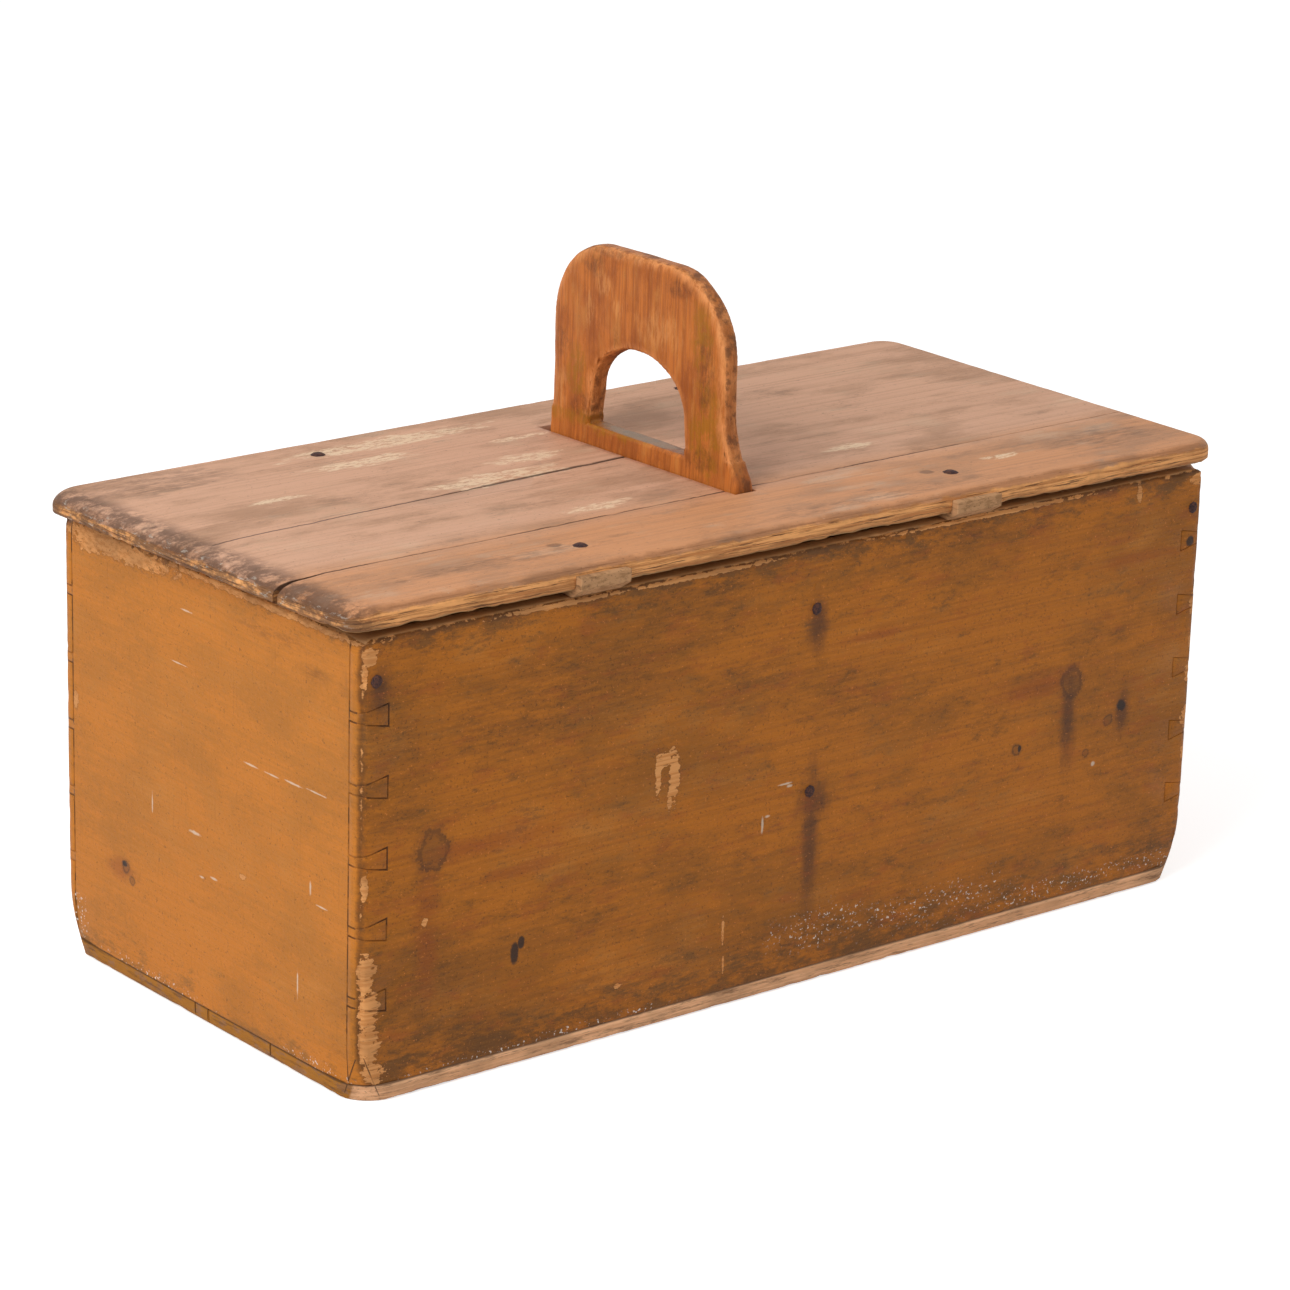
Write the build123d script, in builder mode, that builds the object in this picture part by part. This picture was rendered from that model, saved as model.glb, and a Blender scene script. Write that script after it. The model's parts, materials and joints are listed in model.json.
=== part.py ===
from build123d import *
from math import atan, cos, degrees, pi
import os

os.makedirs("parts", exist_ok=True)

# Driving dimensions in millimetres
# X runs along the bin, Y from its front to its back, and Z up from the floor.

# Box
box_length = 700
box_depth = 328
box_height = 295
front_thickness = 12
end_thickness = 20
bottom_thickness = 11
joint_gap = 0.2

# Wear on the outside of the box, as radii
corner_wear = 5
top_edge_wear = 3
foot_edge_wear = 3
foot_end_wear = 4
foot_wear_run = 18
foot_wear_rise = 40

# Dovetails: pins on the end boards, sockets between the tails of the front and back boards
pin_count = 5
pin_narrow = 6
pin_wide = 14
pin_top_margin = 49
pin_bottom_margin = 55

# Bottom boards, which run the whole length under the walls
bottom_front_width = 93
bottom_middle_width = 83
plank_gap = 0.6
split_length = 70
split_width = 1.4
split_offset = 14

# Handle board: the divider between the two compartments, which rises through the lid as a handle
handle_thickness = 16
handle_front = -78.5
handle_back = 101
handle_rise = 135
front_shoulder_radius = 58
back_shoulder_radius = 55
foot_reach = 15.5
foot_rise = 50
foot_toe_radius = 20
handle_edge_round = 4
hand_hole_width = 90.5
hand_hole_centre = 10
hand_hole_sill = 12.5
hand_hole_side = 23
hand_hole_arch = 34
hand_hole_haunch_radius = 28
hand_hole_lean = 4
hand_hole_edge_round = 3
divider_drop = 8
broken_foot_reach = 8.5
broken_foot_drop = 6
broken_foot_rough = 1.8

# Lid: two planks on two battens, lifted straight off over the handle
lid_overhang_left = 12
lid_overhang_right = 7
lid_overhang_side = 5
lid_thickness = 15
lid_corner_radius = 20
lid_top_round = 7
lid_bottom_bevel = 2.5
lid_joint_left = -92
lid_joint_right = -78
slot_clearance = 1
crack_width = 1.6
crack_length = 250
crack_start = 18
crack_end = 4

# Lid battens, let into the underside and resting on the walls
batten_width = 39
batten_thickness = 14.5
batten_housing = 9.5
batten_proud = 5
batten_relief = 6.5
batten_edge_round = 1
left_batten_x = -176
right_batten_x = 131
fit_gap = 0.2

# Nails: square tapered shanks under hammered heads
nail_clearance = 0.1
wall_nail_length = 50
wall_nail_width = 3.6
wall_nail_head = 8.5
lid_nail_length = 19
lid_nail_width = 3.2
lid_nail_head = 12
head_thickness = 1.5
head_sides = 8
head_flat_share = 0.5
tip_share = 0.4
upper_divider_nail_drop = 41
lower_divider_nail_drop = 163
divider_nail_margin = 5
corner_nail_drop = 27
corner_nail_inset = 11
bottom_nail_length = 40
bottom_nail_width = 3.2
bottom_nail_head = 8
bottom_nail_recess = 0.5
bottom_nail_inset = 70
rear_nail_margin = 35
lid_nail_front_inset = 38
lid_nail_back_inset = 33
lid_nail_front_offset = 13
lid_nail_back_offset = 5
peg_width = 5
peg_length = 40
peg_rise = 15

# Sizes that follow from the ones above
inner_depth = box_depth - 2 * front_thickness
inner_length = box_length - 2 * end_thickness
wall_height = box_height - bottom_thickness
wall_middle = bottom_thickness + wall_height / 2
lid_left = -box_length / 2 - lid_overhang_left
lid_right = box_length / 2 + lid_overhang_right
lid_depth = box_depth + 2 * lid_overhang_side
lid_bottom = box_height + batten_thickness - batten_housing
lid_top = lid_bottom + lid_thickness
pin_step = (wall_height - pin_top_margin - pin_bottom_margin) / (pin_count - 1)
pin_heights = [bottom_thickness + pin_bottom_margin + i * pin_step for i in range(pin_count)]
slot_front = handle_front - foot_reach - slot_clearance
slot_back = handle_back + broken_foot_reach + slot_clearance
slot_width = handle_thickness + 2 * slot_clearance
bottom_joint_front = bottom_front_width - box_depth / 2
bottom_joint_back = bottom_joint_front + bottom_middle_width
foot_cut_radius = 2 * foot_wear_rise


def make_shank(length, width, grow=0):
    """A square shank that points down from Z = 0 and tapers to its tip; grow makes it a hole."""
    size = width + 2 * grow
    inset = width * (1 - tip_share) / 2
    with BuildPart() as shank:
        Wedge(
            xsize=size,
            ysize=length,
            zsize=size,
            xmin=inset,
            zmin=inset,
            xmax=size - inset,
            zmax=size - inset,
            rotation=(-90, 0, 0),
            align=(Align.CENTER, Align.MIN, Align.CENTER),
        )
    return shank.part


def make_nail(length, width, head):
    """A shank with the hammered head that stands proud of the wood."""
    shank = make_shank(length, width)
    slope = head / 2 * cos(pi / head_sides) * (1 - head_flat_share)
    with BuildPart() as nail:
        add(shank)
        with BuildSketch():
            RegularPolygon(head / 2, head_sides)
        extrude(amount=head_thickness, taper=degrees(atan(slope / head_thickness)))
    return nail.part


def pin_outlines(plane, side, grow):
    """The pins of one end board seen from the front; grow opens them into sockets."""
    outer = side * box_length / 2
    inner = side * (box_length / 2 - end_thickness - grow)
    with BuildSketch(plane) as pins:
        for height in pin_heights:
            with BuildLine():
                Polyline(
                    (outer, height - pin_narrow / 2 - grow),
                    (outer, height + pin_narrow / 2 + grow),
                    (inner, height + pin_wide / 2 + grow),
                    (inner, height - pin_wide / 2 - grow),
                    close=True,
                )
            make_face()
    return pins.sketch


# The worn outside of the box, which every board of the box is trimmed to
with BuildPart() as worn_box:
    with BuildSketch():
        RectangleRounded(box_length, box_depth, corner_wear)
    extrude(amount=box_height)
    with BuildSketch(Plane.XZ) as front_view:
        with Locations((0, box_height / 2)):
            Rectangle(box_length, box_height)
        fillet(front_view.vertices().group_by(Axis.Y)[0], foot_end_wear)
        fillet(front_view.vertices().group_by(Axis.Y)[-1], top_edge_wear)
    extrude(amount=box_depth / 2, both=True, mode=Mode.INTERSECT)
    with BuildSketch(Plane.YZ) as end_view:
        with Locations((0, box_height / 2)):
            Rectangle(box_depth, box_height)
        fillet(end_view.vertices().group_by(Axis.Y)[0], foot_edge_wear)
        fillet(end_view.vertices().group_by(Axis.Y)[-1], top_edge_wear)
    extrude(amount=box_length / 2, both=True, mode=Mode.INTERSECT)
    for end in (-1, 1):
        for side in (-1, 1):
            worn_foot = Plane(
                origin=(end * box_length / 2, side * box_depth / 2, foot_wear_rise),
                z_dir=(end / foot_wear_run, side / foot_wear_run, -1 / foot_wear_rise),
            )
            with BuildSketch(worn_foot):
                Circle(foot_cut_radius)
            extrude(amount=foot_wear_rise, mode=Mode.SUBTRACT)

# Nails and the holes that they fill
wall_nail = make_nail(wall_nail_length, wall_nail_width, wall_nail_head)
wall_nail_hole = make_shank(wall_nail_length, wall_nail_width, nail_clearance)
lid_nail = make_nail(lid_nail_length, lid_nail_width, lid_nail_head)
lid_nail_hole = make_shank(lid_nail_length, lid_nail_width, nail_clearance)
bottom_nail = make_nail(bottom_nail_length, bottom_nail_width, bottom_nail_head)
bottom_nail_hole = make_shank(bottom_nail_length, bottom_nail_width, nail_clearance)

# Nail places: a front nail points back, a back nail points forward, a bottom nail points up
front_nail_angles = (90, 0, 0)
back_nail_angles = (-90, 0, 0)
bottom_nail_angles = (180, 0, 0)
divider_nail_x = handle_thickness / 2 - divider_nail_margin
corner_nail_x = box_length / 2 - corner_nail_inset
upper_nail_height = box_height - upper_divider_nail_drop
lower_nail_height = box_height - lower_divider_nail_drop
corner_nail_height = box_height - corner_nail_drop
divider_nail_spots = [(divider_nail_x, upper_nail_height), (divider_nail_x, lower_nail_height)]
corner_nail_spots = [(-corner_nail_x, corner_nail_height), (corner_nail_x, corner_nail_height)]
divider_front_places = [Location((x, -box_depth / 2, z), front_nail_angles) for x, z in divider_nail_spots]
divider_back_places = [Location((x, box_depth / 2, z), back_nail_angles) for x, z in divider_nail_spots]
corner_front_places = [Location((x, -box_depth / 2, z), front_nail_angles) for x, z in corner_nail_spots]
corner_back_places = [Location((x, box_depth / 2, z), back_nail_angles) for x, z in corner_nail_spots]
peg_height = upper_nail_height + peg_rise

nail_seat = head_thickness + bottom_nail_recess
end_nail_x = box_length / 2 - end_thickness / 2
side_nail_y = box_depth / 2 - front_thickness / 2
front_strip_y = (bottom_joint_front - box_depth / 2) / 2
middle_strip_y = (bottom_joint_front + bottom_joint_back) / 2
rear_strip_low_y = bottom_joint_back + rear_nail_margin
rear_strip_high_y = box_depth / 2 - rear_nail_margin
end_nail_ys = [front_strip_y, middle_strip_y, rear_strip_low_y, rear_strip_high_y]
side_nail_reach = inner_length / 2 - bottom_nail_inset
side_nail_xs = [-side_nail_reach, -side_nail_reach / 2, side_nail_reach / 2, side_nail_reach]


def bottom_places(spots):
    """Bottom nail places with the heads sunk above the floor."""
    return [Location((x, y, nail_seat), bottom_nail_angles) for x, y in spots]


left_bottom_places = bottom_places([(-end_nail_x, y) for y in end_nail_ys])
right_bottom_places = bottom_places([(end_nail_x, y) for y in end_nail_ys])
front_bottom_places = bottom_places([(x, -side_nail_y) for x in side_nail_xs])
back_bottom_places = bottom_places([(x, side_nail_y) for x in side_nail_xs])
divider_bottom_places = bottom_places([(0, front_strip_y), (0, rear_strip_low_y)])
all_bottom_places = (
    left_bottom_places
    + right_bottom_places
    + front_bottom_places
    + back_bottom_places
    + divider_bottom_places
)

# Recess that takes each sunk bottom nail head
with BuildPart() as bottom_head_recess:
    with BuildSketch(Plane.XY.offset(-nail_clearance)):
        RegularPolygon(bottom_nail_head / 2 + nail_clearance, head_sides)
    extrude(amount=nail_seat + nail_clearance)

# Front and back boards, with the tails of the dovetails cut in their ends
for name, side, divider_places, corner_places, floor_places in (
    ("front_board", -1, divider_front_places, corner_front_places, front_bottom_places),
    ("back_board", 1, divider_back_places, corner_back_places, back_bottom_places),
):
    outer_face = Plane.XZ.offset(-side * box_depth / 2)
    with BuildPart() as tail_board:
        with BuildSketch(outer_face):
            with Locations((0, wall_middle)):
                Rectangle(box_length, wall_height)
        extrude(amount=side * front_thickness)
        for end in (-1, 1):
            extrude(
                pin_outlines(outer_face, end, joint_gap),
                amount=side * front_thickness,
                mode=Mode.SUBTRACT,
            )
        add(worn_box.part, mode=Mode.INTERSECT)
        with Locations(*divider_places, *corner_places):
            add(wall_nail_hole, mode=Mode.SUBTRACT)
        with Locations(*floor_places):
            add(bottom_nail_hole, mode=Mode.SUBTRACT)
        if side < 0:
            with BuildSketch(outer_face):
                with Locations((divider_nail_x, peg_height)):
                    RegularPolygon(peg_width / 2 + nail_clearance, head_sides)
            extrude(amount=side * front_thickness, mode=Mode.SUBTRACT)
    tail_board.part.label = name
    export_step(tail_board.part, f"parts/{name}.step")

# End boards, with the pins that fill the sockets of the front and back boards
for name, end, floor_places in (
    ("left_end_board", -1, left_bottom_places),
    ("right_end_board", 1, right_bottom_places),
):
    with BuildPart() as pin_board:
        with BuildSketch(Plane.XY.offset(bottom_thickness)):
            with Locations((end * (box_length - end_thickness) / 2, 0)):
                Rectangle(end_thickness, inner_depth - 2 * joint_gap)
        extrude(amount=wall_height)
        for side in (-1, 1):
            extrude(
                pin_outlines(Plane.XZ.offset(-side * box_depth / 2), end, 0),
                amount=side * (front_thickness + joint_gap),
            )
        add(worn_box.part, mode=Mode.INTERSECT)
        with Locations(*corner_front_places, *corner_back_places):
            add(wall_nail_hole, mode=Mode.SUBTRACT)
        with Locations(*floor_places):
            add(bottom_nail_hole, mode=Mode.SUBTRACT)
    pin_board.part.label = name
    export_step(pin_board.part, f"parts/{name}.step")

# Bottom boards, nailed up into the walls and the divider
split_y = bottom_joint_back - split_offset
for name, low_y, high_y in (
    ("bottom_board_front", -box_depth / 2, bottom_joint_front - plank_gap / 2),
    ("bottom_board_middle", bottom_joint_front + plank_gap / 2, bottom_joint_back - plank_gap / 2),
    ("bottom_board_rear", bottom_joint_back + plank_gap / 2, box_depth / 2),
):
    with BuildPart() as bottom_board:
        with BuildSketch():
            with Locations((0, (low_y + high_y) / 2)):
                Rectangle(box_length, high_y - low_y)
            if low_y < split_y < high_y:
                with BuildLine():
                    Polyline(
                        (-box_length / 2, split_y),
                        (split_length - box_length / 2, split_y),
                        (-box_length / 2, split_y - split_width),
                        close=True,
                    )
                make_face(mode=Mode.SUBTRACT)
        extrude(amount=bottom_thickness)
        add(worn_box.part, mode=Mode.INTERSECT)
        with Locations(*all_bottom_places):
            add(bottom_nail_hole, mode=Mode.SUBTRACT)
            add(bottom_head_recess.part, mode=Mode.SUBTRACT)
    bottom_board.part.label = name
    export_step(bottom_board.part, f"parts/{name}.step")

# Handle board
divider_top = box_height - divider_drop
divider_half = inner_depth / 2 - joint_gap
handle_top = lid_top + handle_rise
front_shoulder = handle_top - front_shoulder_radius
back_shoulder = handle_top - back_shoulder_radius
front_top = (handle_front + front_shoulder_radius, handle_top)
back_top = (handle_back - back_shoulder_radius, handle_top)

# The flared front foot is an S of two arcs, upright at both ends
foot_front = handle_front - foot_reach
foot_top = lid_top + foot_rise
foot_radii = (foot_reach**2 + foot_rise**2) / (2 * foot_reach)
foot_throat_radius = foot_radii - foot_toe_radius
toe_share = foot_toe_radius / foot_radii
foot_turn = (foot_front + toe_share * foot_reach, lid_top + toe_share * foot_rise)

# The hand hole is an arch struck from three centres: two haunches and a flatter crown
hole_low = lid_top + hand_hole_sill
hole_spring = hole_low + hand_hole_side
hole_top = hole_spring + hand_hole_arch
hole_front = hand_hole_centre - hand_hole_width / 2
hole_back = hand_hole_centre + hand_hole_width / 2
haunch_out = hand_hole_width / 2 - hand_hole_haunch_radius
haunch_down = hand_hole_arch - hand_hole_haunch_radius
crown_radius = (haunch_out**2 + haunch_down**2) / (2 * haunch_down) + hand_hole_haunch_radius
haunch_reach = hand_hole_haunch_radius / (crown_radius - hand_hole_haunch_radius)
crown_half = haunch_out * (1 + haunch_reach)
crown_low = hole_spring + (crown_radius - hand_hole_arch) * haunch_reach

# The part above the lid, softened by hands along every edge
with BuildPart() as hand_grip:
    with BuildSketch(Plane.YZ):
        with BuildLine():
            Line((foot_front, divider_top), (foot_front, lid_top))
            RadiusArc((foot_front, lid_top), foot_turn, foot_toe_radius)
            RadiusArc(foot_turn, (handle_front, foot_top), -foot_throat_radius)
            Line((handle_front, foot_top), (handle_front, front_shoulder))
            RadiusArc((handle_front, front_shoulder), front_top, front_shoulder_radius)
            Line(front_top, back_top)
            RadiusArc(back_top, (handle_back, back_shoulder), back_shoulder_radius)
            Line((handle_back, back_shoulder), (handle_back, divider_top))
            Line((handle_back, divider_top), (foot_front, divider_top))
        make_face()
    extrude(amount=handle_thickness / 2, both=True)
    outline_edges = hand_grip.edges().filter_by(Axis.X, reverse=True)
    fillet(outline_edges - outline_edges.group_by(Axis.Z)[0], handle_edge_round)
    with BuildSketch(Plane.YZ):
        with BuildLine():
            Line((hole_front, hole_spring), (hole_front - hand_hole_lean, hole_low))
            Line((hole_front - hand_hole_lean, hole_low), (hole_back + hand_hole_lean, hole_low))
            Line((hole_back + hand_hole_lean, hole_low), (hole_back, hole_spring))
            RadiusArc(
                (hole_back, hole_spring),
                (hand_hole_centre + crown_half, crown_low),
                -hand_hole_haunch_radius,
            )
            ThreePointArc(
                (hand_hole_centre + crown_half, crown_low),
                (hand_hole_centre, hole_top),
                (hand_hole_centre - crown_half, crown_low),
            )
            RadiusArc(
                (hand_hole_centre - crown_half, crown_low),
                (hole_front, hole_spring),
                -hand_hole_haunch_radius,
            )
        make_face()
    before = hand_grip.edges()
    extrude(amount=handle_thickness / 2, both=True, mode=Mode.SUBTRACT)
    hole_edges = (hand_grip.edges() - before).filter_by(Axis.X, reverse=True)
    fillet(hole_edges, hand_hole_edge_round)

# The whole board; the foot behind the grip broke off long ago, which left a stub in the slot
break_start = handle_back - handle_edge_round
break_height = lid_top - broken_foot_drop
with BuildPart() as handle_board:
    with BuildSketch(Plane.YZ):
        with BuildLine():
            Polyline(
                (-divider_half, bottom_thickness),
                (-divider_half, divider_top),
                (foot_front, divider_top),
                (foot_front, lid_bottom),
                (break_start, lid_bottom),
                (break_start, break_height),
                (handle_back + broken_foot_reach / 3, break_height + broken_foot_rough),
                (handle_back + 2 * broken_foot_reach / 3, break_height - broken_foot_rough),
                (handle_back + broken_foot_reach, break_height),
                (handle_back + broken_foot_reach, divider_top),
                (divider_half, divider_top),
                (divider_half, bottom_thickness),
                close=True,
            )
        make_face()
    extrude(amount=handle_thickness / 2, both=True)
    add(hand_grip.part)
    with Locations(*divider_front_places, *divider_back_places):
        add(wall_nail_hole, mode=Mode.SUBTRACT)
    with Locations(*divider_bottom_places):
        add(bottom_nail_hole, mode=Mode.SUBTRACT)
    with BuildSketch(Plane.XZ.offset(box_depth / 2)):
        with Locations((divider_nail_x, peg_height)):
            RegularPolygon(peg_width / 2 + nail_clearance, head_sides)
    extrude(amount=-peg_length, mode=Mode.SUBTRACT)
handle_board.part.label = "handle_board"
export_step(handle_board.part, "parts/handle_board.step")

# Whittled peg that fills an old nail hole above the upper divider nail
with BuildPart() as divider_peg:
    with BuildSketch(Plane.XZ.offset(box_depth / 2)):
        with Locations((divider_nail_x, peg_height)):
            RegularPolygon(peg_width / 2, head_sides)
    extrude(amount=-(peg_length - joint_gap))
divider_peg.part.label = "divider_peg"
export_step(divider_peg.part, "parts/divider_peg.step")

# The worn outside of the lid, which both planks are trimmed to
with BuildPart() as worn_lid:
    with BuildSketch(Plane.XY.offset(lid_bottom)):
        with Locations(((lid_left + lid_right) / 2, 0)):
            RectangleRounded(lid_right - lid_left, lid_depth, lid_corner_radius)
    extrude(amount=lid_thickness)
    fillet(worn_lid.edges().group_by(Axis.Z)[-1], lid_top_round)
    chamfer(worn_lid.edges().group_by(Axis.Z)[0], lid_bottom_bevel)

# Lid nails go through a plank into the batten under it
lid_nail_front_y = lid_nail_front_inset - lid_depth / 2
lid_nail_back_y = lid_depth / 2 - lid_nail_back_inset
left_lid_spots = [
    (left_batten_x + lid_nail_front_offset, lid_nail_front_y),
    (left_batten_x + lid_nail_back_offset, lid_nail_back_y),
]
right_lid_spots = [
    (right_batten_x + lid_nail_front_offset, lid_nail_front_y),
    (right_batten_x + lid_nail_back_offset, lid_nail_back_y),
]
left_lid_places = [Location((x, y, lid_top)) for x, y in left_lid_spots]
right_lid_places = [Location((x, y, lid_top)) for x, y in right_lid_spots]

# Lid planks
crack_x = -slot_width / 2
for name, side_y, gap_shift in (
    ("lid_front_plank", -lid_depth / 2, -plank_gap / 2),
    ("lid_rear_plank", lid_depth / 2, plank_gap / 2),
):
    with BuildPart() as lid_plank:
        with BuildSketch(Plane.XY.offset(lid_bottom)):
            with BuildLine():
                Polyline(
                    (lid_left, side_y),
                    (lid_left, lid_joint_left + gap_shift),
                    (lid_right, lid_joint_right + gap_shift),
                    (lid_right, side_y),
                    close=True,
                )
            make_face()
            with Locations((0, (slot_front + slot_back) / 2)):
                Rectangle(slot_width, slot_back - slot_front, mode=Mode.SUBTRACT)
            if side_y > 0:
                with BuildLine():
                    Polyline(
                        (crack_x, crack_start),
                        (crack_x, crack_start - crack_width),
                        (crack_x - crack_length, crack_end),
                        close=True,
                    )
                make_face(mode=Mode.SUBTRACT)
        extrude(amount=lid_thickness)
        add(worn_lid.part, mode=Mode.INTERSECT)
        for batten_x in (left_batten_x, right_batten_x):
            with BuildSketch(Plane.XY.offset(lid_bottom)):
                with Locations((batten_x, 0)):
                    Rectangle(batten_width + 2 * fit_gap, lid_depth)
            extrude(amount=batten_housing, mode=Mode.SUBTRACT)
        with Locations(*left_lid_places, *right_lid_places):
            add(lid_nail_hole, mode=Mode.SUBTRACT)
    lid_plank.part.label = name
    export_step(lid_plank.part, f"parts/{name}.step")

# Lid battens, bevelled under their ends from the walls outwards
batten_reach = lid_depth / 2 + batten_proud
for name, batten_x, nail_places in (
    ("left_batten", left_batten_x, left_lid_places),
    ("right_batten", right_batten_x, right_lid_places),
):
    with BuildPart() as batten:
        with BuildSketch(Plane.YZ.offset(batten_x - batten_width / 2)):
            with BuildLine():
                Polyline(
                    (-box_depth / 2, box_height),
                    (-batten_reach, box_height + batten_relief),
                    (-batten_reach, box_height + batten_thickness),
                    (batten_reach, box_height + batten_thickness),
                    (batten_reach, box_height + batten_relief),
                    (box_depth / 2, box_height),
                    close=True,
                )
            make_face()
        extrude(amount=batten_width)
        fillet(batten.faces().filter_by(Axis.Y).edges(), batten_edge_round)
        with Locations(*nail_places):
            add(lid_nail_hole, mode=Mode.SUBTRACT)
    batten.part.label = name
    export_step(batten.part, f"parts/{name}.step")

# Every group of nails, one node for each job that the nails do
for name, nail, places in (
    ("left_batten_nails", lid_nail, left_lid_places),
    ("right_batten_nails", lid_nail, right_lid_places),
    ("divider_nails_front", wall_nail, divider_front_places),
    ("divider_nails_back", wall_nail, divider_back_places),
    ("corner_nails_front", wall_nail, corner_front_places),
    ("corner_nails_back", wall_nail, corner_back_places),
    ("bottom_nails_left", bottom_nail, left_bottom_places),
    ("bottom_nails_right", bottom_nail, right_bottom_places),
    ("bottom_nails_front", bottom_nail, front_bottom_places),
    ("bottom_nails_back", bottom_nail, back_bottom_places),
    ("bottom_nails_divider", bottom_nail, divider_bottom_places),
):
    with BuildPart() as nail_group:
        with Locations(*places):
            add(nail)
    nail_group.part.label = name
    export_step(nail_group.part, f"parts/{name}.step")
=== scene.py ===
# %% [markdown]
# # A dovetailed flour bin
#
# The frame holds the boards, battens and nails of an old pine flour bin at their real size.
# This lesson keeps every piece where it is and gives it what long use did to the real one:
# edges worn round and chipped, paint rubbed thin, wood gone grey, and iron gone to rust.
#
# We start by loading the frame. It also tells us how large the whole bin is, and we keep that box,
# because nothing that we add may make the bin larger.

import json
import math

import bmesh
import bpy
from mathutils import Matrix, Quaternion, Vector, noise
from mathutils.kdtree import KDTree


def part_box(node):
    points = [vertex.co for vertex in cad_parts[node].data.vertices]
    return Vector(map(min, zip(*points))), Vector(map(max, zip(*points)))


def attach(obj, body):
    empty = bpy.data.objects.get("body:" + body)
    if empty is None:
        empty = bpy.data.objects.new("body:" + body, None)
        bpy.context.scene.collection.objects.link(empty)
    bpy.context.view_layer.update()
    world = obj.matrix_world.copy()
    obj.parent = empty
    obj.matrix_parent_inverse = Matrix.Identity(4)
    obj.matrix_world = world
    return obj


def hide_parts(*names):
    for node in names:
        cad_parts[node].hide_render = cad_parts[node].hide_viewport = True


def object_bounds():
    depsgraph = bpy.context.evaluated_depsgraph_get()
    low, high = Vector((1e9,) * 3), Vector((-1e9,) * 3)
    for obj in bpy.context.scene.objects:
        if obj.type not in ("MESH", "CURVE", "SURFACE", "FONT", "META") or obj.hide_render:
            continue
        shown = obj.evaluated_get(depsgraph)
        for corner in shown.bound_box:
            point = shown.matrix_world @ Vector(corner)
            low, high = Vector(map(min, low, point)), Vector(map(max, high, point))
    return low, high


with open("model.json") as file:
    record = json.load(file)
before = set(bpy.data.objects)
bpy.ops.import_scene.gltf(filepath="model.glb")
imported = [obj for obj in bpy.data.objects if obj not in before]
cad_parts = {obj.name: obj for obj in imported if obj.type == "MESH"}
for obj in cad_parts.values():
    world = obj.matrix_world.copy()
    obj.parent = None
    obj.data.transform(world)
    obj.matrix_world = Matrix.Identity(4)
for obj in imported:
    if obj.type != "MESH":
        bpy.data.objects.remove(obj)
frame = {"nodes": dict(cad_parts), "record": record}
frame_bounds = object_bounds()
MM = 0.001
frame_size = [round((high - low) / MM) for low, high in zip(*frame_bounds)]
print("nodes:", len(frame["nodes"]), "size in mm:", frame_size)

# %% [markdown]
# ## The camera
#
# A long lens from above the left front corner shows the front, the left end and the lid at once.
# A camera could be aimed with a constraint, but a place and three angles say the same thing plainly:
# how far it is turned, how far it looks down, and how much it is rolled.

# %% Camera
camera_place = Vector((-1813, -2201, 1085)) * MM
camera_turn = math.radians(39.45)
camera_dip = math.radians(17.47)
camera_roll = math.radians(1.63)
camera_lens = 126

camera_data = bpy.data.cameras.new("camera")
camera_data.lens = camera_lens
camera_data.sensor_width = 36
camera = bpy.data.objects.new("camera", camera_data)
bpy.context.scene.collection.objects.link(camera)
looks_along = Vector((
    math.sin(camera_turn) * math.cos(camera_dip),
    math.cos(camera_turn) * math.cos(camera_dip),
    -math.sin(camera_dip),
))
camera.location = camera_place
camera.rotation_mode = "QUATERNION"
camera.rotation_quaternion = looks_along.to_track_quat("-Z", "Y") @ Quaternion((0, 0, 1), camera_roll)
bpy.context.scene.camera = camera
bpy.context.scene.view_settings.view_transform = "Standard"
print("camera", round(camera_place.length, 2), "m from the middle of the bin's foot")

# %% [markdown]
# ## One helper for nodes, and one for colour
#
# A material is a tree of nodes. One small function adds a node, sets it up and joins its inputs,
# so that the recipes below read as lists of what they mix.
# Colours are written as the hex values that a paint chart would give, and turned to linear light here.

# %% Node and colour helpers


def node(tree, kind, inputs, **settings):
    """Adds one node; inputs gives each input socket a value, or a socket to join it to."""
    made = tree.nodes.new(kind)
    for name, value in settings.items():
        setattr(made, name, value)
    for socket, value in inputs.items():
        if isinstance(value, bpy.types.NodeSocket):
            tree.links.new(value, made.inputs[socket])
        else:
            made.inputs[socket].default_value = value
    return made


def linear(hex_colour):
    """The linear colour of an sRGB value such as "#BC7A38"."""
    channels = [int(hex_colour[i:i + 2], 16) / 255 for i in (1, 3, 5)]
    return [c / 12.92 if c <= 0.04045 else ((c + 0.055) / 1.055) ** 2.4 for c in channels] + [1]


print("the ochre paint is", [round(v, 3) for v in linear("#BC7A38")[:3]], "in linear light")

# %% [markdown]
# ## A plain white studio
#
# The bin stands on white paper in soft light. The paper keeps the shadow at the bin's foot,
# and a little light of its own, which only the camera and mirrors see, lifts it to clean white.
# The world does the same for the background: it is white to look at, and dimmer as a light.

# %% White paper and background
paper_reach = 12
paper_white = 0.82
paper_lift = 0.62
world_light = 0.5

paper = bpy.data.objects.new("paper", bpy.data.meshes.new("paper"))
paper_shape = bmesh.new()
bmesh.ops.create_grid(paper_shape, x_segments=1, y_segments=1, size=paper_reach)
paper_shape.to_mesh(paper.data)
paper_shape.free()
bpy.context.scene.collection.objects.link(paper)
paper.location.z = -0.5 * MM


def seen_directly(tree):
    """1 for what the camera sees straight, in a mirror or through glass, and 0 for light on the bin."""
    path = node(tree, "ShaderNodeLightPath", {})
    seen = path.outputs["Is Camera Ray"]
    for way in ("Is Glossy Ray", "Is Transmission Ray"):
        inputs = {0: seen, 1: path.outputs[way]}
        seen = node(tree, "ShaderNodeMath", inputs, operation="MAXIMUM").outputs[0]
    return seen


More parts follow.
